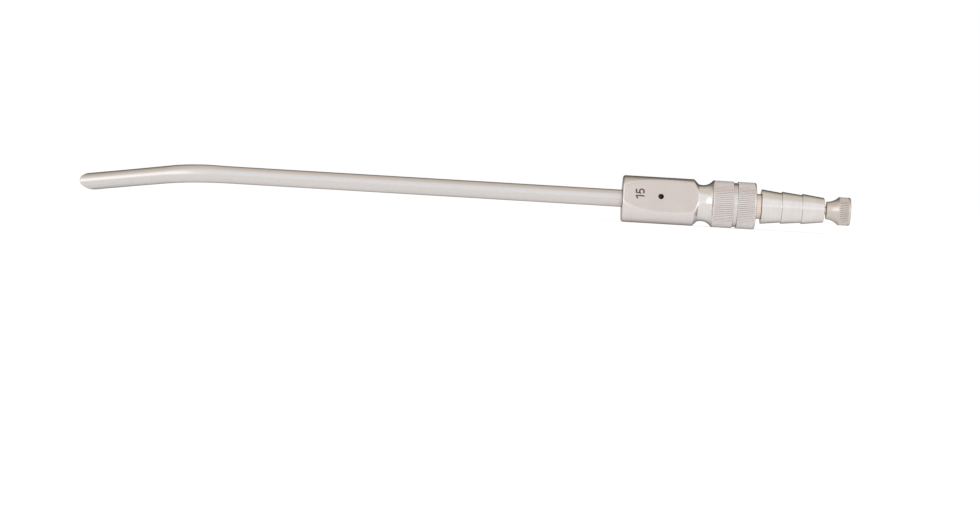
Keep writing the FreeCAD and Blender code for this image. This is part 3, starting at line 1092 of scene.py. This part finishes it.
class SUCTION_OT_mark(bpy.types.Operator):
    """Make the plain gauge number on the thumb rest"""
    bl_idname = "suction_tool.mark"
    bl_label = "Gauge number"

    def execute(self, context):
        tool = context.scene.suction_tool
        sizes = tool.mark
        # The French gauge is three times the tube's diameter in millimetres.
        gauge = str(round(tool.tube.diameter / MM * 3))
        pen = 0.0
        digits = []
        for digit in gauge:
            line, advance = DIGIT_LINES[digit]
            digits.append(ribbon([(pen + x, y) for x, y in line], sizes.stroke))
            pen += advance
        mesh = joined("gauge_number", digits)
        low = Vector([min(v.co[i] for v in mesh.vertices) for i in range(3)])
        high = Vector([max(v.co[i] for v in mesh.vertices) for i in range(3)])
        middle = (low + high) / 2
        size = high - low
        scale = sizes.digit_height / size.y
        # Cut into slices, the digits can follow the thumb rest's hollow.
        slices = bmesh.new()
        slices.from_mesh(mesh)
        count = 12
        for i in range(1, count):
            level = (0, low.y + size.y * i / count, 0)
            every = slices.verts[:] + slices.edges[:] + slices.faces[:]
            bmesh.ops.bisect_plane(slices, geom=every, plane_co=level, plane_no=(0, 1, 0))
        slices.to_mesh(mesh)
        slices.free()
        sunk = 0.02 * MM
        for vertex in mesh.vertices:
            across = (vertex.co.x - middle.x) * sizes.width / size.x
            place = sizes.place - (vertex.co.y - middle.y) * scale
            lift = sizes.relief if vertex.co.z > 0 else -sunk
            vertex.co = (place, sizes.offset + across, rest_level(tool.handle, place) + lift)
        piece("gauge_number", mesh, [steel(tool.finish, "mark")], None, STEEL_BODY)
        return {"FINISHED"}


# Stage

# The tent's light by the angle in degrees, from the table's front edge over the top to
# its back edge: a wide white softbox over the camera, warm cloth overhead, and a dim back,
# with the white room behind the table showing under it. The two edges come first, because
# a new colour ramp has two stops.
TENT_TONES = (
    (0, (1.12, 1.13, 1.15)),
    (180, (1.0, 1.0, 1.0)),
    (12, (1.16, 1.17, 1.19)),
    (24, (1.09, 1.10, 1.13)),
    (50, (1.09, 1.10, 1.13)),
    (64, (0.95, 0.91, 0.88)),
    (74, (0.89, 0.82, 0.75)),
    (105, (0.84, 0.77, 0.70)),
    (124, (0.64, 0.59, 0.55)),
    (138, (0.36, 0.34, 0.32)),
    (170, (0.26, 0.25, 0.24)),
    (175, (1.0, 1.0, 1.0)),
)


def seen_directly(tree):
    """1 where a camera, glossy or transmission ray arrives: it sees the background."""
    path = add_node(tree, "ShaderNodeLightPath").outputs
    first = maths(tree, "MAXIMUM", path["Is Camera Ray"], path["Is Glossy Ray"])
    return maths(tree, "MAXIMUM", first, path["Is Transmission Ray"])


class SUCTION_OT_stage(bpy.types.Operator):
    """Make the pale table, the light tent, the world and the camera"""
    bl_idname = "suction_tool.stage"
    bl_label = "Stage"

    def execute(self, context):
        stage = context.scene.suction_tool.stage
        self.table(context, stage)
        self.tent(context, stage)
        self.world(context)
        self.camera(context, stage)
        return {"FINISHED"}

    def table(self, context, stage):
        half = stage.floor_size / 2
        mesh = bpy.data.meshes.new("pale_table")
        mesh.from_pydata(
            [(-half, -half, 0), (half, -half, 0), (half, half, 0), (-half, half, 0)],
            [], [(0, 1, 2, 3)],
        )
        material = empty_material("white_paper_on_table")
        tree = material.node_tree
        paper = add_node(tree, "ShaderNodeBsdfDiffuse", {"Color": (*linear("#EEEEEE"), 1.0)})
        faint = add_node(tree, "ShaderNodeBsdfDiffuse", {"Color": (0.62, 0.62, 0.62, 1.0)})
        glow = add_node(tree, "ShaderNodeEmission", {"Color": (0.53, 0.535, 0.55, 1.0)})
        white = add_node(tree, "ShaderNodeAddShader", {0: faint.outputs[0], 1: glow.outputs[0]})
        mix = add_node(tree, "ShaderNodeMixShader", {
            0: seen_directly(tree),
            1: paper.outputs[0],
            2: white.outputs[0],
        })
        add_node(tree, "ShaderNodeOutputMaterial", {"Surface": mix.outputs[0]})
        mesh.materials.append(material)
        table = bpy.data.objects.new("pale_table", mesh)
        context.scene.collection.objects.link(table)

    def tent(self, context, stage):
        mesh = bpy.data.meshes.new("light_tent")
        dome = bmesh.new()
        bmesh.ops.create_uvsphere(dome, u_segments=48, v_segments=24, radius=stage.tent_radius)
        below = [v for v in dome.verts if v.co.z < -1 * MM]
        bmesh.ops.delete(dome, geom=below, context="VERTS")
        dome.to_mesh(mesh)
        dome.free()
        material = empty_material("lit_white_cloth")
        tree = material.node_tree
        where = add_node(tree, "ShaderNodeTexCoord").outputs["Object"]
        x, y, z = add_node(tree, "ShaderNodeSeparateXYZ", {0: where}).outputs
        height = maths(tree, "ARCTAN2", z, maths(tree, "MULTIPLY", y, -1.0))
        ramp = add_node(tree, "ShaderNodeValToRGB", {"Fac": mapped(tree, height, (0.0, math.pi))})
        stops = ramp.color_ramp.elements
        for i, (degrees, tone) in enumerate(TENT_TONES):
            stop = stops[i] if i < 2 else stops.new(1.0)
            stop.position = degrees / 180
            stop.color = (*tone, 1.0)
        # The cloth is brighter low down at the left and the right.
        aside, most_aside = 0.35 * stage.tent_radius, 0.65 * stage.tent_radius
        low, high = 0.3 * stage.tent_radius, 0.65 * stage.tent_radius
        sides = mapped(tree, maths(tree, "ABSOLUTE", x), (aside, most_aside))
        low_down = mapped(tree, z, (low, high), (stage.side_light - 1, 0.0))
        glow = add_node(tree, "ShaderNodeEmission", {
            "Color": ramp.outputs["Color"],
            "Strength": maths(tree, "MULTIPLY_ADD", sides, low_down, 1.0),
        })
        add_node(tree, "ShaderNodeOutputMaterial", {"Surface": glow.outputs[0]})
        mesh.materials.append(material)
        tent = bpy.data.objects.new("light_tent", mesh)
        tent.visible_camera = False
        context.scene.collection.objects.link(tent)

    def world(self, context):
        world = bpy.data.worlds.new("white_room")
        context.scene.world = world
        world.use_nodes = True
        tree = world.node_tree
        tree.nodes.clear()
        dim = add_node(tree, "ShaderNodeBackground", {"Strength": 0.8})
        white = add_node(tree, "ShaderNodeBackground", {
            "Color": (1.0, 1.0, 1.0, 1.0),
            "Strength": 1.0,
        })
        mix = add_node(tree, "ShaderNodeMixShader", {
            0: seen_directly(tree),
            1: dim.outputs[0],
            2: white.outputs[0],
        })
        add_node(tree, "ShaderNodeOutputWorld", {"Surface": mix.outputs[0]})
        context.scene.view_settings.view_transform = "Standard"

    def camera(self, context, stage):
        forward = Vector((0, math.cos(stage.pitch), -math.sin(stage.pitch)))
        level_up = Vector((0, math.sin(stage.pitch), math.cos(stage.pitch)))
        level_right = Vector((1, 0, 0))
        right = math.cos(stage.roll) * level_right + math.sin(stage.roll) * level_up
        up = math.cos(stage.roll) * level_up - math.sin(stage.roll) * level_right
        target = TOOL_TO_ROW @ Vector((-stage.middle, 0, 0)) - up * stage.drop
        data = bpy.data.cameras.new("camera")
        data.lens = stage.lens
        data.sensor_width = 36
        data.clip_start = 0.01
        data.clip_end = 100
        camera = bpy.data.objects.new("camera", data)
        turn = Matrix((right, up, -forward)).transposed().to_4x4()
        camera.matrix_world = Matrix.Translation(target - forward * stage.distance) @ turn
        context.scene.collection.objects.link(camera)
        context.scene.camera = camera


OPERATORS = (
    SUCTION_OT_tube,
    SUCTION_OT_handle,
    SUCTION_OT_connector,
    SUCTION_OT_knob,
    SUCTION_OT_wire,
    SUCTION_OT_mark,
    SUCTION_OT_stage,
)
GROUPS = (
    TubeSizes,
    HandleSizes,
    KnurlSizes,
    ConnectorSizes,
    StyletSizes,
    MarkSizes,
    Finish,
    StageSettings,
    SuctionTool,
)


class SUCTION_PT_panel(bpy.types.Panel):
    """The tool's sizes and finishes, and a button for each piece"""
    bl_idname = "SUCTION_PT_panel"
    bl_label = "Suction tube"
    bl_space_type = "VIEW_3D"
    bl_region_type = "UI"
    bl_category = "Suction tube"

    def draw(self, context):
        tool = context.scene.suction_tool
        buttons = self.layout.column(align=True)
        for operator in OPERATORS:
            buttons.operator(operator.bl_idname)
        for name in ("tube", "handle", "knurl", "connector", "stylet", "mark", "finish", "stage"):
            group = getattr(tool, name)
            box = self.layout.box()
            box.label(text=name.capitalize())
            for item in group.bl_rna.properties:
                if item.identifier not in ("rna_type", "name"):
                    box.prop(group, item.identifier)


def register():
    for group in GROUPS:
        bpy.utils.register_class(group)
    bpy.types.Scene.suction_tool = PointerProperty(type=SuctionTool)
    for operator in OPERATORS:
        bpy.utils.register_class(operator)
    bpy.utils.register_class(SUCTION_PT_panel)


def unregister():
    bpy.utils.unregister_class(SUCTION_PT_panel)
    for operator in reversed(OPERATORS):
        bpy.utils.unregister_class(operator)
    del bpy.types.Scene.suction_tool
    for group in reversed(GROUPS):
        bpy.utils.unregister_class(group)


def main():
    register()
    bpy.ops.suction_tool.tube()
    bpy.ops.suction_tool.handle()
    bpy.ops.suction_tool.connector()
    bpy.ops.suction_tool.knob()
    bpy.ops.suction_tool.wire()
    bpy.ops.suction_tool.mark()
    bpy.ops.suction_tool.stage()


if __name__ == "__main__":
    main()
